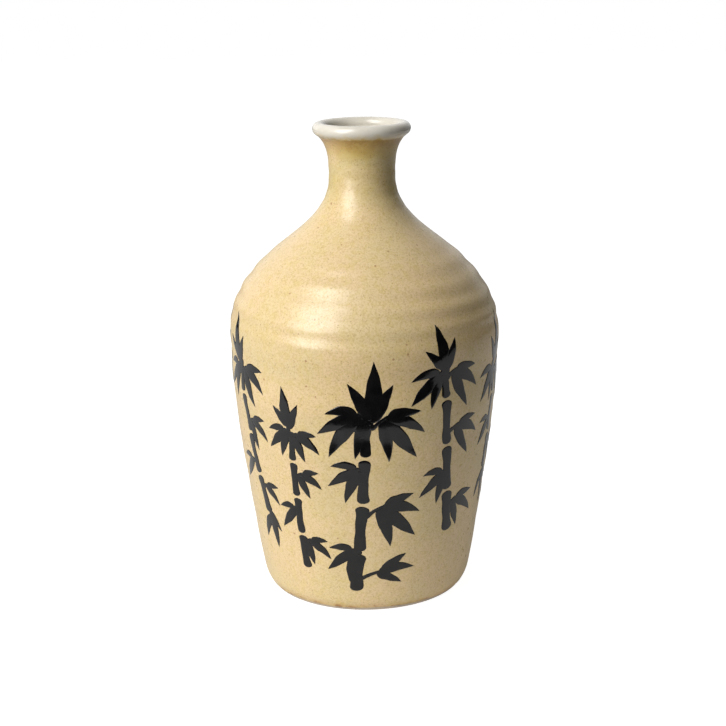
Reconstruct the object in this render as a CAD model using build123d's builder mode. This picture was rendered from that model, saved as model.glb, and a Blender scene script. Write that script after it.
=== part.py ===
"""Sake bottle: a thrown stoneware bottle with a white liner glaze, a tan outer glaze and black brushwork.

The bottle is one fired pot, so nothing on it turns, slides or unscrews. Its separate layers are separate solids
that meet face to face: the clay, the outer glaze, the liner glaze, and the black glaze of each painted spray.
Millimetres, +Z up, origin at the centre of the foot, and the front of the bottle towards -Y.
"""

from build123d import *

import os
from math import cos, pi, radians, sin

# ---- driving dimensions ----
HEIGHT = 190.0
LIP_BEAD = 2.5  # radius of the rolled lip's round section
LIP_RING = 16.8  # radius of the ring that the lip's section is centred on
BORE = 9.25  # inside the neck, for an 18.5 mm stopper
BORE_TOP, BORE_FOOT = 181.0, 159.0
OUTER_COAT = 0.4  # tan glaze
LINER_COAT = 0.4  # white glaze
BRUSH_COAT = 0.15  # black glaze of the brushwork
BARE_FOOT = 1.3  # height of the clay left bare round the foot
FOOT_RIM = 38.8  # outer radius of the face that the bottle stands on
RECESS_RADIUS, RECESS_DEPTH = 30.5, 2.0
FLOOR = 8.6  # height of the glazed floor inside
SKIN_STEPS = 72  # points on the rippled skin
THROAT_STEPS, HOLLOW_STEPS = 12, 40  # points on the liner glaze's underside in the throat and in the cavity
BRUSH_PLANE, BRUSH_REACH = 22.0, 38.0  # each spray's drawing plane is that far from the axis, and is cut that deep
CANE_GAP = 1.2  # bare glaze between one joint of a cane and the next
ROUND_END = 0.14  # how far a stroke's round end stands out, as a share of its width
TWIG_WIDTH, TWIG_BEND = 1.5, 0.06
CANE_TAPER, CANE_BEND = 0.93, 0.012  # each joint's width over the last one's, and its bow over its length
LEAF_WIDTH, LEAF_SPREAD = 0.9, 0.195  # a leaf's width is the first, and the second times its length
LEAF_STEP = 1.1  # between one leaf's start and the next, along the twig
LEAF_DROOP, LEAF_SWAY = 0.07, 0.03  # a leaf's bow over its length: the first for a level leaf, the second by turns

# The outside, (radius, height), from the bare foot to the underside of the lip, without throwing rings.
OUTSIDE = (
    (39.2, BARE_FOOT),
    (41.5, 4.4),
    (43.4, 10.5),
    (46.1, 27.0),
    (49.3, 49.0),
    (52.4, 73.0),
    (53.8, 94.0),
    (54.0, 107.0),
    (52.3, 118.0),
    (47.0, 127.9),
    (37.9, 137.8),
    (26.2, 147.2),
    (17.0, 156.7),
    (13.7, 164.0),
    (13.2, 172.0),
    (14.2, 179.5),
)
FOOT_SPREAD, FOOT_SPREAD_TOP = 1.2, 9.8  # the wall spreads by the first at the foot, and not at all above the second
# Throwing rings: (first height, last height, height of one crest, pitch, depth).
BODY_RINGS = (14.0, 110.0, 109.5, 18.2, 0.22)
SHOULDER_RINGS = (107.0, 140.0, 119.3, 7.2, 0.16)

lip_centre = Vector(LIP_RING, HEIGHT - LIP_BEAD)
LIP_SEAM = -55.0  # where the white glaze of the lip meets the tan one, in degrees round the lip's section
LIP_INSIDE = 190.0  # where the lip's section ends inside the mouth


def ring_depth(height, rings):
    """A cosine of the rings' pitch, faded in and out over one pitch at either end."""
    first, last, crest, pitch, depth = rings
    fade = min((height - first) / pitch, (last - height) / pitch, 1.0)
    if fade <= 0.0:
        return 0.0
    return depth * sin(fade * pi / 2) ** 2 * cos(2 * pi * (height - crest) / pitch)


def lip_point(degrees, depth):
    """A point on the lip's round section, that depth under its surface."""
    reach = LIP_BEAD - depth
    return lip_centre + Vector(reach * cos(radians(degrees)), reach * sin(radians(degrees)))


def foot_share(height):
    """The share of the foot's spread at a height, growing with the square of the way down."""
    return max((FOOT_SPREAD_TOP - height) / (FOOT_SPREAD_TOP - BARE_FOOT), 0.0) ** 2


def parallel(curve, depth, steps, rings=()):
    """Points along a curve, moved off it to its left by a depth, less the rings' height there."""
    points = []
    for step in range(steps + 1):
        spot, ahead = curve.position_at(step / steps), curve.tangent_at(step / steps)
        left = Vector(-ahead.Y, ahead.X)
        lift = sum(ring_depth(spot.Y, each) for each in rings)
        points.append(spot + left * (depth - lift))
    return points


# ---- the lines that the layers share, drawn as (radius, height) ----
seam_slope = Vector(-sin(radians(LIP_SEAM)), cos(radians(LIP_SEAM)))
with BuildLine() as outside:
    Spline(*OUTSIDE, lip_point(LIP_SEAM, 0), tangents=((1, 1.2), seam_slope), tangent_scalars=(1, 1))
outside_curve = outside.edges()[0]

with BuildLine() as mouth:
    Spline(
        lip_point(LIP_INSIDE, 0),
        (11.1, 184.3),
        (BORE, BORE_TOP),
        tangents=((-sin(radians(LIP_INSIDE)), cos(radians(LIP_INSIDE))), (0, -1)),
        tangent_scalars=(1, 1),
    )
mouth_curve = mouth.edges()[0]

with BuildLine() as cavity:
    Spline(
        (BORE, BORE_FOOT),
        (14.0, 150.4),
        (24.4, 141.2),
        (34.2, 133.2),
        (42.2, 124.4),
        (46.9, 115.4),
        (48.2, 107.0),
        (48.0, 94.0),
        (46.6, 73.0),
        (43.5, 49.0),
        (40.4, 27.0),
        (37.6, 15.0),
        (33.5, 10.0),
        (28.0, FLOOR),
        tangents=((0, -1), (-1, 0)),
        tangent_scalars=(1, 1),
    )
cavity_curve = cavity.edges()[0]


def skin(depth, spread=FOOT_SPREAD):
    """The outside with its throwing rings, that depth under the tan glaze's surface."""
    line = parallel(outside_curve, depth, SKIN_STEPS, (BODY_RINGS, SHOULDER_RINGS))
    return Spline(*[spot + Vector(spread * foot_share(spot.Y), 0) for spot in line])


def inside(depth):
    """From the lip's seam over the lip, down the neck and round the cavity to the axis, that depth in the wall."""
    lip = CenterArc(lip_centre, LIP_BEAD - depth, LIP_SEAM, LIP_INSIDE - LIP_SEAM)
    throat = Spline(
        *parallel(mouth_curve, depth, THROAT_STEPS),
        tangents=(mouth_curve.tangent_at(0), (0, -1)),
        tangent_scalars=(1, 1),
    )
    bore = Line((BORE + depth, BORE_TOP), (BORE + depth, BORE_FOOT))
    hollow = Spline(
        *parallel(cavity_curve, depth, HOLLOW_STEPS),
        tangents=((0, -1), (-1, 0)),
        tangent_scalars=(1, 1),
    )
    floor = Line(hollow @ 1, (0, FLOOR - depth))
    return lip, throat, bore, hollow, floor


# ---- the clay, thrown in one piece, with the foot left bare ----
with BuildPart() as clay_body:
    with BuildSketch(Plane.XZ):
        with BuildLine():
            wall = skin(OUTER_COAT)
            foot = Polyline(
                (0, RECESS_DEPTH),
                (RECESS_RADIUS - RECESS_DEPTH, RECESS_DEPTH),
                (RECESS_RADIUS, 0),
                (FOOT_RIM, 0),
                wall @ 0,
            )
            floor = inside(LINER_COAT)[-1]
            Line(floor @ 1, foot @ 0)
        make_face()
    revolve(axis=Axis.Z)
clay_body.part.label = "clay_body"

# ---- the tan glaze, from just above the foot to the seam under the lip ----
with BuildPart() as outer_glaze:
    with BuildSketch(Plane.XZ):
        with BuildLine():
            surface, underside = skin(0), skin(OUTER_COAT)
            Line(surface @ 0, underside @ 0)
            Line(surface @ 1, underside @ 1)
        make_face()
    revolve(axis=Axis.Z)
outer_glaze.part.label = "outer_glaze"

# ---- the white glaze, over the lip, down the neck and all round the cavity ----
with BuildPart() as liner_glaze:
    with BuildSketch(Plane.XZ):
        with BuildLine():
            surface, underside = inside(0), inside(LINER_COAT)
            Line(surface[0] @ 0, underside[0] @ 0)
            Line(surface[-1] @ 1, underside[-1] @ 1)
        make_face()
    revolve(axis=Axis.Z)
liner_glaze.part.label = "liner_glaze"

# ---- the black glaze, brushed on over the tan one as bamboo, one spray at a time ----
# Each stroke is (kind, across, height, heading, length, width, bend). It starts at that place, across being
# measured from the middle of the spray, and its heading is in degrees, 0 to the right and 90 up.
LEAF, CANE, TWIG = "leaf", "cane", "twig"


def half_width(kind, along):
    """Half the stroke's width at a share of its length, as a share of its width."""
    if kind == LEAF:
        return 0.5 * sin(pi * along)
    if kind == TWIG:
        return 0.5 - 0.25 * along
    return 0.5 - 0.13 * sin(pi * along)


def stroke_outline(kind, across, height, heading, length, width, bend):
    """One brush stroke round a bent middle line: two curved sides that meet in points, or in round ends."""
    ahead = Vector(cos(radians(heading)), sin(radians(heading)))
    left = Vector(-ahead.Y, ahead.X)

    def spot(along, sign):
        bow = bend * length * 4 * along * (1 - along)
        middle = Vector(across, height) + ahead * length * along + left * bow
        lean = (ahead + left * (bend * 4 * (1 - 2 * along))).normalized()
        return middle + Vector(-lean.Y, lean.X) * (sign * width * half_width(kind, along))

    if kind == LEAF:
        ThreePointArc(spot(0, 0), spot(0.5, 1), spot(1, 0))
        ThreePointArc(spot(0, 0), spot(0.5, -1), spot(1, 0))
        return
    one, other = [ThreePointArc(spot(0, sign), spot(0.5, sign), spot(1, sign)) for sign in (1, -1)]
    for end, way in ((0, -1), (1, 1)):
        cap = ahead * (2 * ROUND_END * width * half_width(kind, end) * way)
        ThreePointArc(one @ end, spot(end, 0) + cap, other @ end)


def cane(across, height, heading, lengths, width, turn):
    """A jointed cane: strokes end to end, each a little narrower and turned a little more."""
    strokes = []
    spot = Vector(across, height)
    for length in lengths:
        strokes.append((CANE, spot.X, spot.Y, heading, length, width, CANE_BEND))
        stride = length + CANE_GAP + 2 * ROUND_END * width
        spot += Vector(cos(radians(heading)), sin(radians(heading))) * stride
        width *= CANE_TAPER
        heading += turn
    return strokes


def branch(across, height, heading, length, leaves, weight=1.0):
    """A twig, and leaves of (heading, length) from its tip and from just behind it."""
    ahead = Vector(cos(radians(heading)), sin(radians(heading)))
    strokes = [(TWIG, across, height, heading, length, TWIG_WIDTH, TWIG_BEND * ahead.X)]
    for behind, (leaf_heading, leaf_length) in enumerate(leaves):
        start = Vector(across, height) + ahead * (length - LEAF_STEP * behind)
        width = weight * (LEAF_WIDTH + LEAF_SPREAD * leaf_length)
        bend = LEAF_DROOP * cos(radians(leaf_heading)) - LEAF_SWAY * (-1) ** behind
        strokes.append((LEAF, start.X, start.Y, leaf_heading, leaf_length, width, bend))
    return strokes


FRONT = [
    *cane(-6, 11, 85, (15, 18, 17, 13), 6.2, 1.0),
    *branch(0.5, 80, 92, 5, ((87, 22), (122, 17), (60, 17)), 1.25),
    *branch(0, 82, 138, 7, ((-176, 12), (-152, 18), (-126, 21), (-101, 17)), 1.25),
    *branch(0.5, 80, 40, 8, ((4, 13), (-26, 17), (-52, 21), (-80, 17)), 1.25),
    *branch(-1.5, 61, 142, 5, ((178, 10), (-148, 14), (-114, 15)), 1.2),
    *branch(-2, 43, 33, 9, ((20, 12), (-14, 15), (-44, 19), (-74, 17)), 1.3),
    *branch(-4, 27, 150, 4, ((-178, 9), (-138, 14), (-102, 14)), 1.2),
    *branch(-5, 15, 24, 10, ((36, 12), (4, 14), (-26, 11)), 1.25),
]
RIGHT = [
    *cane(3, 33, 97, (16, 17, 17, 11), 4.8, -1.0),
    *branch(-3.5, 97, 100, 5, ((100, 17), (136, 12), (68, 14))),
    *branch(-3, 98, 150, 4, ((-168, 12), (-138, 17), (-112, 14))),
    *branch(-3, 97, 35, 6, ((-2, 11), (-34, 16), (-62, 17))),
    *branch(-1.5, 74, 32, 7, ((10, 10), (-24, 14), (-58, 15))),
    *branch(1, 57, 150, 4, ((-176, 9), (-140, 14), (-106, 13))),
    *branch(2.5, 43, 35, 5, ((4, 10), (-36, 14), (-74, 12))),
]
LEFT = [
    *cane(1, 19, 93, (13, 14, 13, 11), 3.6, -1.5),
    *branch(-1, 75, 98, 5, ((98, 15), (130, 10), (64, 12))),
    *branch(-1, 76, 150, 3, ((-170, 8), (-136, 12), (-108, 11))),
    *branch(-0.5, 74, 35, 4, ((-2, 8), (-36, 12), (-66, 11))),
    *branch(-0.5, 57, 35, 5, ((8, 7), (-32, 10), (-66, 10))),
    *branch(0, 43, 148, 3, ((-172, 7), (-128, 12))),
    *branch(1, 29, 38, 4, ((0, 7), (-40, 11), (-78, 10))),
]
FAR_LEFT = [
    *cane(5, 39, 100, (14, 15, 14, 12), 4.4, -1.5),
    *branch(-5, 95, 102, 6, ((99, 18), (132, 12), (66, 13))),
    *branch(-5, 97, 152, 3, ((-170, 9), (-134, 15), (-106, 14))),
    *branch(-4.5, 95, 32, 6, ((0, 11), (-34, 15), (-62, 16))),
    *branch(-2, 74, 35, 6, ((6, 8), (-36, 12), (-70, 12))),
    *branch(1, 58, 150, 4, ((-174, 8), (-132, 14))),
    *branch(4, 49, 30, 3, ((2, 7), (-44, 10))),
    *branch(5, 42, -84, 5, ((-116, 12), (-82, 15), (-54, 10))),
]
FAR_RIGHT = [
    *cane(0, 53, 88, (13, 14, 12), 4.6, 2.0),
    *branch(1, 92, 84, 6, ((83, 19), (120, 13), (54, 12))),
    *branch(1, 93, 150, 4, ((-168, 11), (-134, 16), (-106, 13))),
    *branch(1, 92, 32, 5, ((2, 11), (-34, 15), (-64, 16))),
    *branch(1, 72, 150, 4, ((-176, 8), (-136, 13))),
    *branch(1, 62, 32, 5, ((8, 9), (-34, 13), (-72, 11))),
    *branch(0, 56, -88, 5, ((-122, 12), (-84, 16), (-54, 10))),
]

# The brushed glaze is cut from a film that lies on the tan glaze. Every stroke is above the foot's spread, so the
# film has none.
with BuildPart() as film:
    with BuildSketch(Plane.XZ):
        with BuildLine():
            surface, underside = skin(-BRUSH_COAT, 0), skin(0, 0)
            Line(surface @ 0, underside @ 0)
            Line(surface @ 1, underside @ 1)
        make_face()
    revolve(axis=Axis.Z)


def brushed(strokes):
    """The strokes, drawn on an upright plane in front of the axis and carried out through the film."""
    with BuildPart() as design:
        with BuildSketch(Plane.XZ.offset(BRUSH_PLANE)):
            for stroke in strokes:
                with BuildLine():
                    stroke_outline(*stroke)
                make_face()
        extrude(amount=BRUSH_REACH)
        add(film.part, mode=Mode.INTERSECT)
    return design.part


front, right, far_right, left, far_left = [brushed(each) for each in (FRONT, RIGHT, FAR_RIGHT, LEFT, FAR_LEFT)]

# Each spray: its name, its design, the azimuth of its middle in degrees, positive to the right of the front, and
# whether left and right change over.
SPRAYS = (
    ("front", front, 2, False),
    ("right", right, 38.7, False),
    ("far_right", far_right, 71.5, False),
    ("right_rear", right, 103, True),
    ("back_right", left, 131, False),
    ("back", front, 166, False),
    ("back_left", far_right, 206, True),
    ("left_rear", left, 235.3, True),
    ("side_left", far_left, 262.3, True),
    ("far_left", far_left, 300, False),
    ("left", left, 327.2, False),
)
brushwork = []
for name, design, azimuth, flipped in SPRAYS:
    with BuildPart() as spray:
        add(design.mirror(Plane.YZ) if flipped else design, rotation=(0, 0, azimuth))
    spray.part.label = f"brushwork_{name}"
    brushwork.append(spray)

# ---- write the nodes ----
os.makedirs("parts", exist_ok=True)
for node in (clay_body, outer_glaze, liner_glaze, *brushwork):
    export_step(node.part, f"parts/{node.part.label}.step")
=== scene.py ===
"""Sake bottle: the fired pot, its white liner, its tan coat and its black brushwork, in a small white studio.

Shapes are worked out in millimetres, as (radius, height) round the bottle's axis or as distances over its
surface, and put into their meshes in metres. Azimuth is 0 at the front, which faces -Y, and grows to +X.
"""

import math

import bpy
import numpy as np
from mathutils import Euler, Matrix, Vector


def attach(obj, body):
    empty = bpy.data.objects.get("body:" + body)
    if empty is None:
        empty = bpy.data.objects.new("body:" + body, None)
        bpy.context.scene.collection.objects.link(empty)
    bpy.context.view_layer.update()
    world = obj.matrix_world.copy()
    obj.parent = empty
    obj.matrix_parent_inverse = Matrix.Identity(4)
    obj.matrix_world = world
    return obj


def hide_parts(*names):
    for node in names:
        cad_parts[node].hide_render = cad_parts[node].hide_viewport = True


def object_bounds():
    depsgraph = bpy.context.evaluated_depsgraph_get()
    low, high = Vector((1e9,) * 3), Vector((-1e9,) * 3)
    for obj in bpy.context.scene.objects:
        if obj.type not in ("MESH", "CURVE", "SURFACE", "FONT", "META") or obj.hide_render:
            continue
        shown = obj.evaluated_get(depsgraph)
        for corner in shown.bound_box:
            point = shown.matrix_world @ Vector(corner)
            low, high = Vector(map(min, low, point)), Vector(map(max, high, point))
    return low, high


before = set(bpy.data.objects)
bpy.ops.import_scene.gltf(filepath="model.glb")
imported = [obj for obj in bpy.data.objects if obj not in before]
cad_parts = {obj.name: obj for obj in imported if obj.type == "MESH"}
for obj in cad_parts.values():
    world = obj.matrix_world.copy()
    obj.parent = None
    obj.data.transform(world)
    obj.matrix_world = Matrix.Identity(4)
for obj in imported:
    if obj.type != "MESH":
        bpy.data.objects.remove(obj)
cad_low, cad_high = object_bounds()

# ---- the pot ----
# One piece of stoneware, thrown on a wheel and turned at the foot. The buff clay stays bare on the foot
# ring and in the recess under it, because glaze there would stick the pot to the kiln shelf.
MM = 0.001
HEIGHT = cad_high.z / MM
LIP_BEAD = 2.5  # radius of the rolled lip's section, whose centre is LIP_RING from the axis
LIP_RING = 16.8
LIP_SEAM, LIP_INSIDE = -55.0, 190.0  # degrees round that section, where the lip starts and ends
BORE, BORE_TOP, BORE_FOOT = 9.25, 181.0, 159.0
COAT = 0.4  # glaze thickness, on both sides of the wall
FLOOR = 8.6
BARE_FOOT = 1.3
RECESS_DEPTH, RECESS_RADIUS = 2.0, 28.5
TURNING_PITCH, TURNING_DEPTH = 2.4, 0.07  # marks of the turning tool in the recess

# The outside from the foot to the lip's seam, without throwing rings, and the hollow, down from the bore.
OUTSIDE = (
    (39.2, BARE_FOOT), (41.5, 4.4), (43.4, 10.5), (46.1, 27.0), (49.3, 49.0), (52.4, 73.0),
    (53.8, 94.0), (54.0, 107.0), (52.3, 118.0), (47.0, 127.9), (37.9, 137.8), (26.2, 147.2),
    (17.0, 156.7), (13.7, 164.0), (13.2, 172.0), (14.2, 179.5),
)
THROAT = ((11.1, 184.3), (BORE, BORE_TOP))
HOLLOW = (
    (BORE, BORE_FOOT), (14.0, 150.4), (24.4, 141.2), (34.2, 133.2), (42.2, 124.4), (46.9, 115.4),
    (48.2, 107.0), (48.0, 94.0), (46.6, 73.0), (43.5, 49.0), (40.4, 27.0), (37.6, 15.0), (33.5, 10.0),
    (28.0, FLOOR),
)
FOOT_RING = (
    (28.5, 1.9), (29.6, 1.0), (30.6, 0.1), (31.6, 0.0), (34.5, 0.0), (38.0, 0.0), (39.1, 0.15), (39.8, 0.8),
)
FOOT_SPREAD, FOOT_SPREAD_TOP = 1.2, 9.8  # how far the wall spreads at the foot, and the height it starts at
OUTSIDE_STEPS, LIP_STEPS, THROAT_STEPS, HOLLOW_STEPS = 2400, 200, 80, 1200


def smooth_line(points, first, last, steps):
    """Points along a cubic between each pair of the given ones, with slope and bend both carried on from
    one pair to the next. The line leaves along first and arrives along last, and its parameter is the
    distance between points."""
    points = np.array(points, float)
    gaps = np.linalg.norm(np.diff(points, axis=0), axis=1)
    before, after = gaps[:-1], gaps[1:]
    inner = np.arange(1, len(points) - 1)
    matrix = np.eye(len(points))
    matrix[inner, inner - 1] = after
    matrix[inner, inner] = 2 * (before + after)
    matrix[inner, inner + 1] = before
    steepness = np.diff(points, axis=0) / gaps[:, None]
    target = np.zeros_like(points)
    target[0] = np.array(first) / np.linalg.norm(first)
    target[-1] = np.array(last) / np.linalg.norm(last)
    target[inner] = 3 * (after[:, None] * steepness[:-1] + before[:, None] * steepness[1:])
    slopes = np.linalg.solve(matrix, target)
    knots = np.concatenate(([0], np.cumsum(gaps)))
    along = np.linspace(0, knots[-1], steps)
    span = np.clip(np.searchsorted(knots, along) - 1, 0, len(gaps) - 1)
    gap = gaps[span][:, None]
    share = (along - knots[span])[:, None] / gap
    start, end = points[span], points[span + 1]
    cubic = start + (end - start) * share**2 * (3 - 2 * share)
    return cubic + gap * share * (1 - share) * (slopes[span] * (1 - share) - slopes[span + 1] * share)


def lip_arc(first, last, steps):
    """Points on the lip's round section, from one angle in degrees to another."""
    angle = np.radians(np.linspace(first, last, steps))
    radius, height = LIP_RING + LIP_BEAD * np.cos(angle), HEIGHT - LIP_BEAD + LIP_BEAD * np.sin(angle)
    return np.stack((radius, height), axis=-1)


def lip_direction(degrees):
    """The way that the lip's section runs at an angle, a quarter turn on from that angle."""
    return -math.sin(math.radians(degrees)), math.cos(math.radians(degrees))


# The whole wall as one line: up the outside, over the lip, down the neck and round the hollow to the axis.
seam_point = lip_arc(LIP_SEAM, LIP_SEAM, 1)[0]
outside_line = smooth_line((*OUTSIDE, seam_point), (1, 1.2), lip_direction(LIP_SEAM), OUTSIDE_STEPS)
spread = np.clip((FOOT_SPREAD_TOP - outside_line[:, 1]) / (FOOT_SPREAD_TOP - BARE_FOOT), 0, 1)
outside_line[:, 0] += FOOT_SPREAD * spread**2
lip_line = lip_arc(LIP_SEAM, LIP_INSIDE, LIP_STEPS)
wall_line = np.concatenate((
    outside_line,
    lip_line[1:],
    smooth_line((lip_line[-1], *THROAT), lip_direction(LIP_INSIDE), (0, -1), THROAT_STEPS)[1:],
    smooth_line(HOLLOW, (0, -1), (-1, 0), HOLLOW_STEPS),
    ((0.0, FLOOR),),
))
wall_along = np.concatenate(([0], np.cumsum(np.linalg.norm(np.diff(wall_line, axis=0), axis=1))))
wall_ahead = np.gradient(wall_line, wall_along, axis=0)
wall_ahead /= np.linalg.norm(wall_ahead, axis=1)[:, None]
SEAM = wall_along[len(outside_line) - 1]
WALL_END = wall_along[-1]

# Throwing rings, each band with the heights over which it fades in and the heights over which it fades out.
# Broad ones go round the body, deepest above its middle and at the front, and fine ones circle the shoulder
# and the neck.
BODY_RINGS = dict(crest=85.2, pitch=23.7, depth=0.31, fade_in=(62, 72), fade_out=(106, 118))
SIDE_RINGS = dict(crest=54.9, pitch=18.2, depth=0.12, fade_in=(12, 30), fade_out=(100, 112))
SHOULDER_RINGS = dict(crest=117.5, pitch=7.15, depth=0.17, fade_in=(106, 114), fade_out=(132, 146))
NECK_RINGS = dict(crest=166.0, pitch=5.4, depth=0.05, fade_in=(150, 160), fade_out=(172, 180))
RING_LEAN = 1.8  # how far a ring drops on the bottle's right, and rises on its left
FRONT_FADE, FRONT_LEAST, SIDE_MOST = (-0.2, 0.6), 0.35, 1.15  # where the body's rings fade to the side's
UNEVEN = 0.3  # how much the shoulder's rings deepen and fade on their way round
TWO_WAVES, THREE_WAVES, WAVER_FADES = 0.10, 0.05, ((4, 30), (140, 160))
BULGE, BULGE_FADES = 0.4, ((84, 102), (108, 122))  # the right of the shoulder is thrown a little full


def step_up(value, low, high):
    """0 below low, 1 above high, and a smooth rise between."""
    share = np.clip((value - low) / (high - low), 0, 1)
    return share**2 * (3 - 2 * share)


def within(value, fade_in, fade_out):
    """1 between two fades, each (where it starts, where it ends), and 0 beyond them."""
    return step_up(value, *fade_in) * (1 - step_up(value, *fade_out))


def rings(azimuth, height, crest, pitch, depth, fade_in, fade_out):
    """A cosine of the height, which leans a little round the bottle, between its two fades."""
    wave = np.cos(2 * np.pi * (height - crest + RING_LEAN * np.sin(azimuth)) / pitch)
    return depth * wave * within(height, fade_in, fade_out)


def lift(azimuth, height):
    """How far the thrown surface stands out of its plain line: the bands of rings, a slight waver that goes
    two and three times round, and the fuller right of the shoulder."""
    front = FRONT_LEAST + (1 - FRONT_LEAST) * step_up(np.cos(azimuth), *FRONT_FADE)
    body = rings(azimuth, height, **BODY_RINGS) * front
    side = rings(azimuth, height, **SIDE_RINGS) * (SIDE_MOST - front)
    fine = rings(azimuth, height, **SHOULDER_RINGS) * (1 + UNEVEN * np.sin(3 * azimuth + height / 4))
    neck = rings(azimuth, height, **NECK_RINGS)
    twice = TWO_WAVES * np.sin(2 * azimuth + 0.9 + height / 60)
    thrice = THREE_WAVES * np.sin(3 * azimuth - height / 23)
    waver = (twice + thrice) * within(height, *WAVER_FADES)
    bulge = BULGE * np.clip(np.sin(azimuth), 0, 1) ** 2 * within(height, *BULGE_FADES)
    return body + side + fine + neck + waver + bulge


def place(azimuth, radius, height):
    """Points at an azimuth round the axis, a distance from it, and a height."""
    return np.stack(np.broadcast_arrays(radius * np.sin(azimuth), -radius * np.cos(azimuth), height), axis=-1)


def on_wall(azimuth, along, proud):
    """Points at a distance along the wall's line, moved squarely out of it by its rings and by proud."""
    radius, height = (np.interp(along, wall_along, wall_line[:, axis]) for axis in (0, 1))
    ahead_radius, ahead_height = (np.interp(along, wall_along, wall_ahead[:, axis]) for axis in (0, 1))
    out = np.where(along < SEAM, lift(azimuth, height), 0) + proud
    return place(azimuth, np.maximum(radius + ahead_height * out, 0), height - ahead_radius * out)


def closed_surface(points, loop):
    """Corners and faces of a grid of points whose last column joins its first. With loop its last row joins
    its first as well. Otherwise its first and last rows are each drawn together in one point, where the
    faces fan out."""
    rows, columns = points.shape[:2]
    here = np.arange(rows * columns).reshape(rows, columns)
    there = np.roll(here, -1, axis=0)
    if not loop:
        here, there = here[1:-2], there[1:-2]
    quads = np.stack((here, np.roll(here, -1, axis=1), np.roll(there, -1, axis=1), there), axis=-1)
    quads = quads.reshape(-1, 4)
    corners = points.reshape(-1, 3)
    if loop:
        return corners, quads.tolist()
    first, last = columns - 1, (rows - 1) * columns
    low, high = np.arange(columns, 2 * columns), np.arange(columns) + (rows - 2) * columns
    fans = [
        *np.stack((np.full(columns, first), np.roll(low, -1), low), axis=-1).tolist(),
        *np.stack((high, np.roll(high, -1), np.full(columns, last)), axis=-1).tolist(),
    ]
    faces = [[corner - first for corner in face] for face in (*quads.tolist(), *fans)]
    return corners[first : last + 1], faces


def add_piece(name, corners, faces, finish, slot, *nodes):
    """Puts a surface in the scene in metres, smooth and with its finish, to stand for those nodes."""
    mesh = bpy.data.meshes.new(name)
    mesh.from_pydata((corners * MM).tolist(), [], faces)
    mesh.polygons.foreach_set("use_smooth", np.ones(len(faces), bool))
    mesh.materials.append(finish)
    mesh.update()
    piece = bpy.data.objects.new(name, mesh)
    bpy.context.scene.collection.objects.link(piece)
    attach(piece, "root")
    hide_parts(*nodes)
    return piece


def new_finish(name):
    """A material with nothing but a surface shader, and that shader."""
    finish = bpy.data.materials.new(name)
    finish.use_nodes = True
    return finish, finish.node_tree, finish.node_tree.nodes["Principled BSDF"]


def node(tree, kind, inputs, output=0, **settings):
    """Adds a node and returns one of its outputs. An input is linked if it is another node's output, and
    set if it is not."""
    made = tree.nodes.new(f"ShaderNode{kind}")
    for setting, value in settings.items():
        setattr(made, setting, value)
    for socket, value in inputs.items():
        if isinstance(value, bpy.types.NodeSocket):
            tree.links.new(value, made.inputs[socket])
        else:
            made.inputs[socket].default_value = value
    return made.outputs[output]


def sums(tree, operation, *values):
    """One arithmetic step on two or three numbers or outputs."""
    return node(tree, "Math", dict(enumerate(values)), operation=operation)


def between(tree, value, low, high, start=0.0, end=1.0):
    """A smooth change from start to end as the value goes from low to high."""
    inputs = {"Value": value, "From Min": low, "From Max": high, "To Min": start, "To Max": end}
    return node(tree, "MapRange", inputs, interpolation_type="SMOOTHSTEP")


def blend(tree, share, one, other):
    """One colour, changing to the other as the share goes from 0 to 1."""
    return node(tree, "Mix", {0: share, 6: one, 7: other}, output=2, data_type="RGBA")


def noise(tree, place_on, grain, detail=2.0, rough=0.5):
    """Soft noise whose patches are about grain millimetres across."""
    inputs = {"Vector": place_on, "Scale": 1 / (grain * MM), "Detail": detail, "Roughness": rough}
    return node(tree, "TexNoise", inputs)


def specks(tree, place_on, spacing, smallest, largest):
    """Round dots, 1 inside and 0 outside: one in each cell of that spacing, with radii between the two."""
    inputs = {"Vector": place_on, "Scale": 1 / (spacing * MM)}
    distance = node(tree, "TexVoronoi", inputs)
    chance = node(tree, "SeparateColor", {0: node(tree, "TexVoronoi", inputs, output=1)})
    radius = between(tree, chance, 0.0, 1.0, smallest / spacing, largest / spacing)
    return between(tree, sums(tree, "DIVIDE", distance, radius), 1.15, 0.75)


def bumped(tree, heights, depth, strength=1.0):
    """A surface roughened by heights from 0 to 1, which stand for depth millimetres."""
    return node(tree, "Bump", {"Height": heights, "Distance": depth * MM, "Strength": strength})


def clay_finish():
    """Bare fired stoneware: warm grey-buff, dusty and rough, with dark grog, pale grains and pinholes."""
    finish, tree, shader = new_finish("bare_stoneware")
    spot = node(tree, "TexCoord", {}, output=3)
    cloud = between(tree, noise(tree, spot, 9.0, 4.0), 0.35, 0.65)
    colour = blend(tree, cloud, (0.36, 0.31, 0.25, 1), (0.45, 0.37, 0.28, 1))
    pale = between(tree, noise(tree, spot, 0.5), 0.3, 0.7, 0.0, 0.35)
    colour = blend(tree, pale, colour, (0.55, 0.47, 0.37, 1))
    grog = specks(tree, spot, 1.6, 0.1, 0.32)
    colour = blend(tree, sums(tree, "MULTIPLY", grog, 0.75), colour, (0.12, 0.085, 0.06, 1))
    grit = sums(tree, "SUBTRACT", noise(tree, spot, 0.35, 4.0, 0.65), sums(tree, "MULTIPLY", grog, 0.5))
    tree.links.new(colour, shader.inputs["Base Color"])
    tree.links.new(between(tree, noise(tree, spot, 2.0), 0.3, 0.7, 0.78, 0.95), shader.inputs["Roughness"])
    tree.links.new(bumped(tree, grit, 0.12), shader.inputs["Normal"])
    shader.inputs["Specular IOR Level"].default_value = 0.25
    return finish


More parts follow.
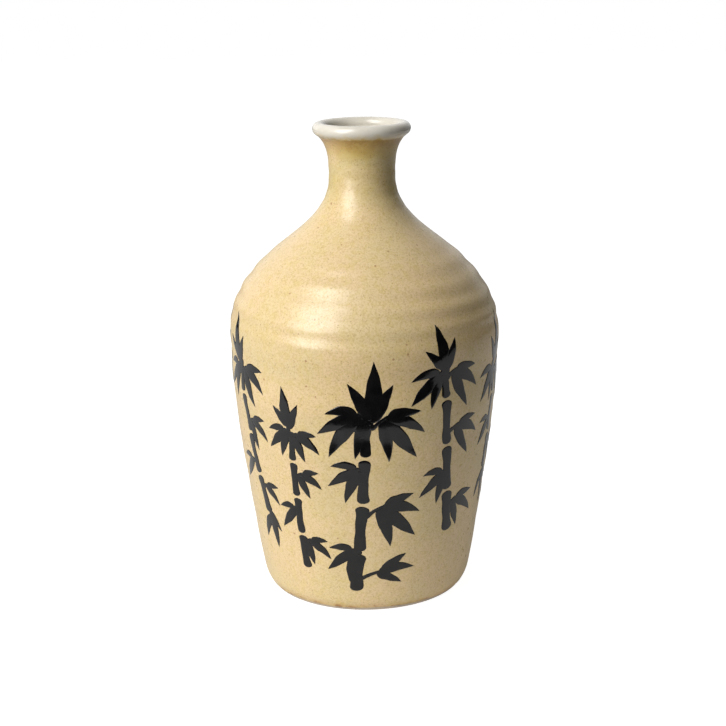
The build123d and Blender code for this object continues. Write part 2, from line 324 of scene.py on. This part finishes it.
POT_COLUMNS = 144
RECESS_ROWS, FOOT_ROWS, OUTSIDE_ROWS, INSIDE_ROWS = 70, 40, 110, 150
TURNING_FADES = (0, 2), (24, 27)
azimuths = np.linspace(0, 2 * np.pi, POT_COLUMNS, endpoint=False)
recess = np.linspace(0, RECESS_RADIUS, RECESS_ROWS)[:-1]
marks = TURNING_DEPTH * np.cos(2 * np.pi * recess / TURNING_PITCH) * within(recess, *TURNING_FADES)
foot_line = np.concatenate((
    np.stack((recess, RECESS_DEPTH + marks), axis=-1),
    smooth_line(FOOT_RING, (1, -0.8), (0.6, 1), FOOT_ROWS),
))
foot_points = place(azimuths, foot_line[:, :1], foot_line[:, 1:])
buried = np.concatenate((np.linspace(0, SEAM, OUTSIDE_ROWS), np.linspace(SEAM, WALL_END, INSIDE_ROWS)[1:]))
wall_points = on_wall(azimuths, buried[:, None], -COAT)
pot_surface = closed_surface(np.concatenate((foot_points, wall_points)), loop=False)
add_piece("clay_pot", *pot_surface, clay_finish(), "clay", "clay_body")

# ---- the white liner ----
# White glaze, swilled round inside the bottle, poured out again and wiped over the lip, so it covers the
# hollow, the neck and the rolled lip. Its edge lies over the tan coat's, and the two run together there in
# an ochre line.
LINER_COLUMNS = 200
LINER_EDGE = 2.1  # how far the white runs down past the seam
LINER_WAVER = 0.3
LINER_PROUD, LINER_SUNK = 0.1, 0.06  # how far the lip's glaze stands out, and how far its edge is sunk
EDGE_RISE, LIP_FALL = (0, 1.1), (4, 9)  # distances from the edge over which it rises, and levels off again
BED_FALL, LINER_BED = (0, 1.5), 0.08  # where its underside drops to the clay, and how far it beds in
LINER_ROWS = (0, 0.06, 60), (0.06, 0.14, 24), (0.14, 1, 110)  # shares of the way, and rows in each
LINER_UNDER_ROWS = 90


def ripple(azimuth, waves, seed):
    """A wavering line round the bottle, from -1 to 1: sines of those counts, with seeded sizes and phases."""
    random = np.random.default_rng(seed)
    counts = np.array(waves)[:, None]
    sizes = random.uniform(0.4, 1.0, counts.shape)
    phases = random.uniform(0, 2 * np.pi, counts.shape)
    return (sizes * np.sin(counts * azimuth + phases)).sum(axis=0) / sizes.sum()


def liner_finish():
    """Glossy warm white, faintly specked with grey, and stained ochre where it thins out at its edge."""
    finish, tree, shader = new_finish("white_glaze")
    spot = node(tree, "TexCoord", {}, output=3)
    edge = node(tree, "Attribute", {}, output=2, attribute_name="edge")
    edge = sums(tree, "ADD", edge, between(tree, noise(tree, spot, 2.6, 3.0), 0.3, 0.7, -0.9, 0.9))
    cloud = between(tree, noise(tree, spot, 7.0, 3.0), 0.35, 0.65)
    colour = blend(tree, cloud, (0.60, 0.565, 0.49, 1), (0.54, 0.505, 0.43, 1))
    grey = sums(tree, "MULTIPLY", specks(tree, spot, 2.4, 0.05, 0.16), 0.45)
    colour = blend(tree, grey, colour, (0.2, 0.16, 0.11, 1))
    colour = blend(tree, between(tree, edge, 4.2, 1.2, 0.0, 0.85), colour, (0.60, 0.50, 0.31, 1))
    colour = blend(tree, between(tree, edge, 1.9, 0.2, 0.0, 0.85), colour, (0.48, 0.33, 0.11, 1))
    tree.links.new(colour, shader.inputs["Base Color"])
    tree.links.new(between(tree, noise(tree, spot, 3.0), 0.3, 0.7, 0.17, 0.25), shader.inputs["Roughness"])
    tree.links.new(bumped(tree, noise(tree, spot, 1.6, 2.0), 0.02), shader.inputs["Normal"])
    shader.inputs["IOR"].default_value = 1.52
    return finish


azimuths = np.linspace(0, 2 * np.pi, LINER_COLUMNS, endpoint=False)
edge_start = SEAM - LINER_EDGE + LINER_WAVER * ripple(azimuths, (2, 3, 5, 9, 14), 4)
share = np.unique(np.concatenate([np.linspace(*rows) for rows in LINER_ROWS]))
liner_along = edge_start + (WALL_END - edge_start) * share[:, None]
from_edge = liner_along - edge_start
rise, fall = step_up(from_edge, *EDGE_RISE), step_up(from_edge, *LIP_FALL)
liner_proud = -LINER_SUNK + (LINER_PROUD + LINER_SUNK) * rise * (1 - fall) + LINER_SUNK * fall
under_from_edge = (WALL_END - edge_start) * np.linspace(1, 0, LINER_UNDER_ROWS)[:, None]
liner_points = np.concatenate((
    on_wall(azimuths, edge_start + under_from_edge, -COAT * step_up(under_from_edge, *BED_FALL) - LINER_BED),
    on_wall(azimuths, liner_along, liner_proud),
))
liner_corners, liner_faces = closed_surface(liner_points, loop=False)
liner = add_piece("white_coat", liner_corners, liner_faces, liner_finish(), "white_glaze", "liner_glaze")
edge_values = np.concatenate((under_from_edge, from_edge)).ravel()[LINER_COLUMNS - 1 :][: len(liner_corners)]
liner.data.attributes.new("edge", "FLOAT", "POINT").data.foreach_set("value", edge_values)

# ---- the tan coat ----
# Satin tan glaze over the whole outside, from just above the foot to under the lip. Iron in the clay comes
# through it as brown specks, and it breaks to ochre where it runs thin under the lip and along its beaded
# lower edge.
TAN_COLUMNS = 288
TAN_BEAD = 0.5  # height of the rounded lower edge
TAN_OVERRUN = 0.9  # how far the tan runs up under the white
TAN_START, TAN_WAVER = 0.1, 0.25  # how far up the wall the tan starts, and how much its lower edge wavers
TAN_TUCK, TUCK_OVER = 0.3, (SEAM - 0.2, SEAM + 0.8)  # how far it thins under the white, and where
TAN_BED = 0.02  # how far it beds into the clay
TAN_ROWS, BEAD_ROWS, TAN_UNDER_ROWS = 262, 7, 52
BODY_TAN = (0.595, 0.465, 0.25, 1)
SHOULDER_TAN = (0.63, 0.495, 0.275, 1)
NECK_TAN = (0.555, 0.45, 0.228, 1)
OCHRE, BROWN = (0.46, 0.305, 0.08, 1), (0.34, 0.20, 0.05, 1)
RUST = (0.3, 0.14, 0.04, 1)
BANDS = (
    (0.0, RUST), (1.5, RUST), (2.3, (0.52, 0.36, 0.15, 1)), (4.6, BODY_TAN), (100.0, BODY_TAN),
    (122.0, SHOULDER_TAN), (146.0, SHOULDER_TAN), (163.0, NECK_TAN), (176.3, NECK_TAN),
    (178.8, (0.51, 0.38, 0.13, 1)), (180.8, OCHRE), (184.2, BROWN), (190.0, BROWN),
)


def banded(tree, height, bands):
    """A colour for each height in millimetres, changing evenly from one band to the next."""
    ramp = tree.nodes.new("ShaderNodeValToRGB")
    low, high = bands[0][0], bands[-1][0]
    share = node(tree, "MapRange", {"Value": height, "From Min": low, "From Max": high})
    tree.links.new(share, ramp.inputs[0])
    stops = ramp.color_ramp.elements
    for stop, (level, colour) in enumerate(bands[1:-1], start=1):
        stops.new((level - low) / (high - low)).color = colour
    stops[0].color, stops[-1].color = bands[0][1], bands[-1][1]
    return ramp.outputs[0]


def tan_finish():
    """Tan glaze: banded by height, clouded pink and yellow, mottled, and specked with iron in two sizes."""
    finish, tree, shader = new_finish("tan_glaze")
    spot = node(tree, "TexCoord", {}, output=3)
    height = node(tree, "SeparateXYZ", {0: spot}, output=2)
    wander = between(tree, noise(tree, spot, 5.0, 4.0, 0.6), 0.3, 0.7, -1.1, 1.1)
    height = sums(tree, "MULTIPLY_ADD", height, 1 / MM, wander)
    colour = banded(tree, height, BANDS)
    warm = between(tree, noise(tree, spot, 24.0, 3.0), 0.38, 0.62, 0.0, 0.35)
    colour = blend(tree, warm, colour, (0.70, 0.49, 0.30, 1))
    yellow = between(tree, noise(tree, spot, 2.8, 4.0, 0.7), 0.42, 0.66, 0.0, 0.45)
    colour = blend(tree, yellow, colour, (0.56, 0.43, 0.15, 1))
    fine = between(tree, noise(tree, spot, 0.7, 3.0, 0.8), 0.42, 0.68, 0.0, 0.55)
    colour = blend(tree, fine, colour, (0.40, 0.27, 0.10, 1))
    iron = specks(tree, spot, 1.2, 0.06, 0.27)
    colour = blend(tree, sums(tree, "MULTIPLY", iron, 0.5), colour, (0.24, 0.145, 0.06, 1))
    large = specks(tree, spot, 5.5, 0.15, 0.5)
    colour = blend(tree, sums(tree, "MULTIPLY", large, 0.6), colour, (0.24, 0.085, 0.03, 1))
    tree.links.new(colour, shader.inputs["Base Color"])
    sheen = between(tree, noise(tree, spot, 2.5, 3.0), 0.3, 0.7, 0.27, 0.36)
    tree.links.new(sheen, shader.inputs["Roughness"])
    stretched = node(tree, "Mapping", {0: spot, "Scale": (0.04, 0.04, 1.0)})
    grooves = noise(tree, stretched, 0.9, 2.0)
    pits = sums(tree, "SUBTRACT", noise(tree, spot, 0.9, 3.0), sums(tree, "MULTIPLY", iron, 0.4))
    relief = sums(tree, "ADD", sums(tree, "MULTIPLY", grooves, 0.6), sums(tree, "MULTIPLY", pits, 0.8))
    tree.links.new(bumped(tree, relief, 0.035), shader.inputs["Normal"])
    return finish


azimuths = np.linspace(0, 2 * np.pi, TAN_COLUMNS, endpoint=False)
tan_low = TAN_START + TAN_WAVER * ripple(azimuths, (2, 3, 7, 12), 11)
tan_high = SEAM + TAN_OVERRUN
bead = TAN_BEAD * (1 - np.cos(np.linspace(0, np.pi / 2, BEAD_ROWS)))
tan_rows = np.concatenate((bead / tan_high, np.linspace(TAN_BEAD / tan_high, 1, TAN_ROWS)[1:]))
tan_along = tan_low + (tan_high - tan_low) * tan_rows[:, None]
round_off = np.clip(1 - (tan_along - tan_low) / TAN_BEAD, 0, 1)
tan_proud = -COAT * (1 - np.sqrt(1 - round_off**2)) - TAN_TUCK * step_up(tan_along, *TUCK_OVER)
tan_under = tan_low + (tan_high - tan_low) * np.linspace(1, 0, TAN_UNDER_ROWS)[:, None]
tan_points = np.concatenate((
    on_wall(azimuths, tan_along, tan_proud),
    on_wall(azimuths, tan_under, -COAT - TAN_BED),
))
add_piece("tan_coat", *closed_surface(tan_points, loop=True), tan_finish(), "tan_glaze", "outer_glaze")

# ---- the brushwork ----
# Black glaze, brushed on over the tan one before the last firing: canes of bamboo in short joints, with
# twigs and leaves. It melts into smooth glassy strokes that stand a little proud and go brown where they
# thin at the edges.
BRUSH_COAT = 0.13
BRUSH_SINK = 0.05
CANE_GAP = 1.2
ROUND_END = 0.14
CANE_BEND, CANE_TAPER, CANE_WAIST = 0.012, 0.93, 0.13
TWIG_WIDTH, TWIG_BEND, TWIG_TAPER = 2.0, 0.06, 0.25
LEAF_WIDTH, LEAF_SPREAD, LEAF_STEP = 0.9, 0.195, 1.1
LEAF_DROOP, LEAF_SWAY = 0.07, 0.03
LEAF_FULLEST = 2 / 27**0.5  # the greatest value of the leaf's formula
END_REACH = 0.3  # how far along, in widths, the rounding of an end reaches
EDGE_WAVER, WAVES = 0.06, (4.0, 9.0, 17.0)  # how much a stroke's edges waver, and each sine's turns along it
AROUND = 14  # corners round a stroke's section
SIDE_POWER, TOP_POWER = 0.55, 0.65  # the section's squareness, across it and upwards
THICK_FROM = 0.6  # half the width from which a stroke has its whole thickness
STATIONS = {"leaf": 30, "cane": 26, "twig": 14}


def cane(across, height, heading, lengths, width, turn):
    """A jointed cane: strokes end to end, each a little narrower and turned a little more."""
    strokes = []
    for length in lengths:
        strokes.append(("cane", across, height, heading, length, width, CANE_BEND))
        stride = length + CANE_GAP + 2 * ROUND_END * width
        across += stride * math.cos(math.radians(heading))
        height += stride * math.sin(math.radians(heading))
        width *= CANE_TAPER
        heading += turn
    return strokes


def branch(across, height, heading, length, leaves, weight=1.0):
    """A twig, and leaves of (heading, length) from its tip and from just behind it."""
    ahead, rise = math.cos(math.radians(heading)), math.sin(math.radians(heading))
    strokes = [("twig", across, height, heading, length, TWIG_WIDTH, TWIG_BEND * ahead)]
    for behind, (leaf_heading, leaf_length) in enumerate(leaves):
        out = length - LEAF_STEP * behind
        width = weight * (LEAF_WIDTH + LEAF_SPREAD * leaf_length)
        bend = LEAF_DROOP * math.cos(math.radians(leaf_heading)) + LEAF_SWAY * (-1) ** (behind + 1)
        base = across + ahead * out, height + rise * out
        strokes.append(("leaf", *base, leaf_heading, leaf_length, width, bend))
    return strokes


def half_width(kind, along, length, width):
    """Half a stroke's width along it. A leaf swells at once from its blunt start, is widest a third of the
    way and tapers to a long tip: the root of the way along times what is left of it. A cane pinches in a
    little at its middle and a twig narrows, and both have round ends."""
    if kind == "leaf":
        return 0.5 * width * along**0.5 * (1 - along) / LEAF_FULLEST
    shape = 0.5 - (TWIG_TAPER * along if kind == "twig" else CANE_WAIST * np.sin(np.pi * along))
    to_end = np.minimum(along, 1 - along) * length / (END_REACH * width)
    return width * shape * np.sqrt(1 - np.clip(1 - to_end, 0, 1) ** 2)


def brush_stroke(random, azimuth, flipped, kind, across, height, heading, length, width, bend):
    """One stroke, as (points, depths) on a grid: stations along a middle line that bows by bend times its
    length, and at each a section that is a flat-topped superellipse, thinner where the stroke is narrow.
    Its edges waver by a few sines of random size, and the whole is carried onto the bottle's surface."""
    way = (1 - np.cos(np.linspace(0, np.pi, STATIONS[kind])))[:, None] / 2
    past = 0 if kind == "leaf" else ROUND_END * width / length
    along = way * (1 + 2 * past) - past
    turn = np.linspace(0, 2 * np.pi, AROUND, endpoint=False)
    side = np.sign(np.cos(turn)) * np.abs(np.cos(turn)) ** SIDE_POWER
    rise = np.abs(np.sin(turn)) ** TOP_POWER
    phases, sizes = random.uniform(0, 2 * np.pi, (2, 3)), random.uniform(0.3, 1.0, (2, 3))
    waves = [sizes[edge] * np.sin(way * WAVES + phases[edge]) for edge in (0, 1)]
    wavers = [wave.sum(axis=1, keepdims=True) for wave in waves]
    half = half_width(kind, way, length, width) * (1 + EDGE_WAVER * np.where(side > 0, *wavers))
    ahead = np.array((math.cos(math.radians(heading)), math.sin(math.radians(heading))))
    left = np.array((-ahead[1], ahead[0]))
    lean = np.arctan(4 * bend * (1 - 2 * along))
    bow = 4 * bend * length * along * (1 - along) + half * side * np.cos(lean)
    run = length * along - half * side * np.sin(lean)
    off, up = across + ahead[0] * run + left[0] * bow, height + ahead[1] * run + left[1] * bow
    thick = BRUSH_COAT * np.clip(np.abs(half) / THICK_FROM, 0, 1) ** 0.5
    proud = np.where(np.sin(turn) > -1e-9, thick * rise, -BRUSH_SINK * rise)
    if flipped:
        off, up, proud = -off[:, ::-1], up[:, ::-1], proud[:, ::-1]
    where = azimuth + np.arcsin(off / np.interp(up, outside_line[:, 1], outside_line[:, 0]))
    points = on_wall(where, np.interp(up, outside_line[:, 1], wall_along[: len(outside_line)]), proud)
    return points, np.clip(proud / BRUSH_COAT, 0, 1)


def brush_finish():
    """Black glaze: glassy and near black, thin and brown at its edges, with faint runs in its gloss."""
    finish, tree, shader = new_finish("black_glaze")
    spot = node(tree, "TexCoord", {}, output=3)
    depth = node(tree, "Attribute", {}, output=2, attribute_name="depth")
    ragged = between(tree, noise(tree, spot, 0.8), 0.3, 0.7, -0.12, 0.12)
    thin = between(tree, sums(tree, "ADD", depth, ragged), 0.42, 0.05)
    cloud = between(tree, noise(tree, spot, 4.0), 0.3, 0.7)
    colour = blend(tree, cloud, (0.0035, 0.0035, 0.004, 1), (0.007, 0.0065, 0.0065, 1))
    colour = blend(tree, sums(tree, "MULTIPLY", thin, 0.8), colour, (0.07, 0.04, 0.02, 1))
    tree.links.new(colour, shader.inputs["Base Color"])
    tree.links.new(between(tree, noise(tree, spot, 2.2), 0.3, 0.7, 0.07, 0.13), shader.inputs["Roughness"])
    tree.links.new(bumped(tree, noise(tree, spot, 2.4, 2.0), 0.012), shader.inputs["Normal"])
    shader.inputs["IOR"].default_value = 1.52
    return finish


FRONT = (
    *cane(-6, 11, 85, (15, 18, 17, 13), 6.2, 1.0),
    *branch(0.5, 80, 92, 5, ((87, 22), (122, 17), (60, 17)), 1.25),
    *branch(0, 82, 138, 7, ((-176, 12), (-152, 18), (-126, 21), (-101, 17)), 1.25),
    *branch(0.5, 80, 40, 8, ((4, 13), (-26, 17), (-52, 21), (-80, 17)), 1.25),
    *branch(-1.5, 61, 142, 5, ((178, 10), (-148, 14), (-114, 15)), 1.2),
    *branch(-2, 43, 33, 9, ((20, 12), (-14, 15), (-44, 19), (-74, 17)), 1.3),
    *branch(-4, 27, 150, 4, ((-178, 9), (-138, 14), (-102, 14)), 1.2),
    *branch(-5, 15, 24, 10, ((36, 12), (4, 14), (-26, 11)), 1.25),
)
RIGHT = (
    *cane(3, 33, 97, (16, 17, 17, 11), 4.8, -1.0),
    *branch(-3.5, 97, 100, 5, ((100, 17), (136, 12), (68, 14))),
    *branch(-3, 98, 150, 4, ((-168, 12), (-138, 17), (-112, 14))),
    *branch(-3, 97, 35, 6, ((-2, 11), (-34, 16), (-62, 17))),
    *branch(-1.5, 74, 32, 7, ((10, 10), (-24, 14), (-58, 15))),
    *branch(1, 57, 150, 4, ((-176, 9), (-140, 14), (-106, 13))),
    *branch(2.5, 43, 35, 5, ((4, 10), (-36, 14), (-74, 12))),
)
LEFT = (
    *cane(1, 19, 93, (13, 14, 13, 11), 3.6, -1.5),
    *branch(-1, 75, 98, 5, ((98, 15), (130, 10), (64, 12))),
    *branch(-1, 76, 150, 3, ((-170, 8), (-136, 12), (-108, 11))),
    *branch(-0.5, 74, 35, 4, ((-2, 8), (-36, 12), (-66, 11))),
    *branch(-0.5, 57, 35, 5, ((8, 7), (-32, 10), (-66, 10))),
    *branch(0, 43, 148, 3, ((-172, 7), (-128, 12))),
    *branch(1, 29, 38, 4, ((0, 7), (-40, 11), (-78, 10))),
)
FAR_LEFT = (
    *cane(5, 39, 100, (14, 15, 14, 12), 4.4, -1.5),
    *branch(-5, 95, 102, 6, ((99, 18), (132, 12), (66, 13))),
    *branch(-5, 97, 152, 3, ((-170, 9), (-134, 15), (-106, 14))),
    *branch(-4.5, 95, 32, 6, ((0, 11), (-34, 15), (-62, 16))),
    *branch(-2, 74, 35, 6, ((6, 8), (-36, 12), (-70, 12))),
    *branch(1, 58, 150, 4, ((-174, 8), (-132, 14))),
    *branch(4, 49, 30, 3, ((2, 7), (-44, 10))),
    *branch(5, 42, -84, 5, ((-116, 12), (-82, 15), (-54, 10))),
)
FAR_RIGHT = (
    *cane(0, 53, 88, (13, 14, 12), 4.6, 2.0),
    *branch(1, 92, 84, 6, ((83, 19), (120, 13), (54, 12))),
    *branch(1, 93, 150, 4, ((-168, 11), (-134, 16), (-106, 13))),
    *branch(1, 92, 32, 5, ((2, 11), (-34, 15), (-64, 16))),
    *branch(1, 72, 150, 4, ((-176, 8), (-136, 13))),
    *branch(1, 62, 32, 5, ((8, 9), (-34, 13), (-72, 11))),
    *branch(0, 56, -88, 5, ((-122, 12), (-84, 16), (-54, 10))),
)
# Each spray: its name, its design, the azimuth of its middle in degrees, whether left and right change
# over, and how heavily it is brushed.
SPRAYS = (
    ("front", FRONT, 2, False, 1.0),
    ("right", RIGHT, 38.7, False, 1.22),
    ("far_right", FAR_RIGHT, 71.5, False, 1.1),
    ("right_rear", RIGHT, 103, True, 1.1),
    ("back_right", LEFT, 131, False, 1.2),
    ("back", FRONT, 166, False, 1.0),
    ("back_left", FAR_RIGHT, 206, True, 1.1),
    ("left_rear", LEFT, 235.3, True, 1.2),
    ("side_left", FAR_LEFT, 262.3, True, 1.1),
    ("far_left", FAR_LEFT, 300, False, 1.15),
    ("left", LEFT, 327.2, False, 1.25),
)
black_glaze = brush_finish()
for number, (name, design, azimuth, flipped, weight) in enumerate(SPRAYS):
    random = np.random.default_rng(100 + number)
    spray_corners, spray_faces, spray_depths, count = [], [], [], 0
    for *stroke, width, bend in design:
        points, depths = brush_stroke(random, math.radians(azimuth), flipped, *stroke, width * weight, bend)
        stroke_corners, stroke_faces = closed_surface(points, loop=False)
        spray_corners.append(stroke_corners)
        spray_faces += [[corner + count for corner in face] for face in stroke_faces]
        spray_depths.append(depths.ravel()[AROUND - 1 :][: len(stroke_corners)])
        count += len(stroke_corners)
    surface = np.concatenate(spray_corners), spray_faces
    spray = add_piece(f"brushed_{name}", *surface, black_glaze, "black_glaze", f"brushwork_{name}")
    depth_values = np.concatenate(spray_depths)
    spray.data.attributes.new("depth", "FLOAT", "POINT").data.foreach_set("value", depth_values)

# ---- the studio ----
# A white table with a dark room in front of it and to its sides, a white backdrop behind, and one large
# softbox high on the left. The black glaze mirrors the table's front and side edges as sharp bands.
TABLE_REACH = 3.0
TABLE_FRONT, TABLE_SIDE = -0.168, 0.86
BOUNCE_DROP, BOUNCE_GLOW, BOUNCE_FILL = 0.0005, 0.1, 0.37  # the fill only lights matt surfaces
ROOM_FILL, CEILING_FILL = 0.05, 0.2
SOFTBOX_AZIMUTH, SOFTBOX_ELEVATION, SOFTBOX_DISTANCE = -46.0, 33.5, 1.0
SOFTBOX_WIDTH, SOFTBOX_HEIGHT, SOFTBOX_POWER = 0.63, 1.3, 16.7
CAMERA_PLACE = (-0.0006, -0.6157, 0.2588)
CAMERA_PITCH, CAMERA_ROLL, CAMERA_LENS = 15.176, 0.746, 77.4


def add_card(name, outline, height, colour, glow):
    """A flat card of a glowing material, at a height. Its outline is its least and greatest x, then y."""
    least_x, greatest_x, least_y, greatest_y = outline
    near = [(least_x, least_y, height), (greatest_x, least_y, height)]
    far = [(greatest_x, greatest_y, height), (least_x, greatest_y, height)]
    mesh = bpy.data.meshes.new(name)
    mesh.from_pydata(near + far, [], [(0, 1, 2, 3)])
    finish, tree, shader = new_finish(name)
    shader.inputs["Base Color"].default_value = (colour, colour, colour, 1)
    shader.inputs["Roughness"].default_value = 1.0
    shader.inputs["Specular IOR Level"].default_value = 0.0
    shader.inputs["Emission Color"].default_value = (1, 1, 1, 1)
    shader.inputs["Emission Strength"].default_value = glow
    mesh.materials.append(finish)
    card = bpy.data.objects.new(name, mesh)
    bpy.context.scene.collection.objects.link(card)
    return card


# The table is seen as a pale sheet, and a second one just under it gives the bottle its light from below.
# That one is brighter as light on matt surfaces than it is in mirroring ones.
sheet = add_card("table", (-TABLE_REACH, TABLE_REACH, -TABLE_REACH, TABLE_REACH), 0.0, 0.35, 0.93)
sheet.visible_glossy = sheet.visible_diffuse = sheet.visible_shadow = False
bounce_outline = -TABLE_SIDE, TABLE_SIDE, TABLE_FRONT, TABLE_REACH
bounce = add_card("table_bounce", bounce_outline, -BOUNCE_DROP, 0.5, BOUNCE_GLOW)
bounce.visible_camera = False
bounce_tree = bounce.data.materials[0].node_tree
matt = node(bounce_tree, "LightPath", {}, output="Is Diffuse Ray")
glow = sums(bounce_tree, "MULTIPLY_ADD", matt, BOUNCE_FILL, BOUNCE_GLOW)
bounce_tree.links.new(glow, bounce_tree.nodes["Principled BSDF"].inputs["Emission Strength"])

# The room: a backdrop behind that is brightest on the left, a pale ceiling, and dark everywhere else. The
# camera sees it white all round. The backdrop's right is brighter in a mirroring surface than it is as
# light on a matt one.
world = bpy.data.worlds.new("studio")
bpy.context.scene.world = world
world.use_nodes = True
room = world.node_tree
background = room.nodes["Background"]
sky = node(room, "TexCoord", {})
right, behind, above = (node(room, "SeparateXYZ", {0: sky}, output=axis) for axis in range(3))
diffuse, glossy, seen = (
    node(room, "LightPath", {}, output=f"Is {kind} Ray") for kind in ("Diffuse", "Glossy", "Camera")
)
mirrored = sums(room, "MULTIPLY", between(room, right, 0.2, 0.85, 1.0, 0.3), glossy)
sides = sums(room, "MAXIMUM", between(room, right, -0.5, 0.6, 1.0, 0.16), mirrored)
backdrop = sums(room, "MULTIPLY", between(room, behind, 0.45, 0.7), sides)
ceiling = sums(room, "MULTIPLY", between(room, behind, 0.1, 0.5), between(room, above, 0.15, 0.5, 0.0, 0.5))
backdrop = sums(room, "MULTIPLY", sums(room, "MAXIMUM", backdrop, ceiling), between(room, above, -0.02, 0.0))
fill = sums(room, "MULTIPLY", diffuse, between(room, above, 0.2, 0.8, ROOM_FILL, CEILING_FILL))
level = sums(room, "MAXIMUM", sums(room, "ADD", backdrop, fill), seen)
room.links.new(level, background.inputs["Strength"])
background.inputs["Color"].default_value = (1, 1, 1, 1)

middle = (cad_low + cad_high) / 2
light = bpy.data.lights.new("softbox", "AREA")
light.shape, light.size, light.size_y, light.energy = "ELLIPSE", SOFTBOX_WIDTH, SOFTBOX_HEIGHT, SOFTBOX_POWER
softbox = bpy.data.objects.new("softbox", light)
side, up = math.radians(SOFTBOX_AZIMUTH), math.radians(SOFTBOX_ELEVATION)
towards = Vector((math.sin(side) * math.cos(up), -math.cos(side) * math.cos(up), math.sin(up)))
softbox.location = middle + towards * SOFTBOX_DISTANCE
softbox.rotation_euler = towards.to_track_quat("Z", "Y").to_euler()
bpy.context.scene.collection.objects.link(softbox)

camera = bpy.data.objects.new("camera", bpy.data.cameras.new("camera"))
camera.data.lens = CAMERA_LENS
pitched = Euler((math.radians(90 - CAMERA_PITCH), 0, 0)).to_matrix()
rolled = pitched @ Matrix.Rotation(-math.radians(CAMERA_ROLL), 3, "Z")
camera.location, camera.rotation_euler = CAMERA_PLACE, rolled.to_euler()
bpy.context.scene.collection.objects.link(camera)
bpy.context.scene.camera = camera
bpy.context.scene.view_settings.view_transform = "Standard"
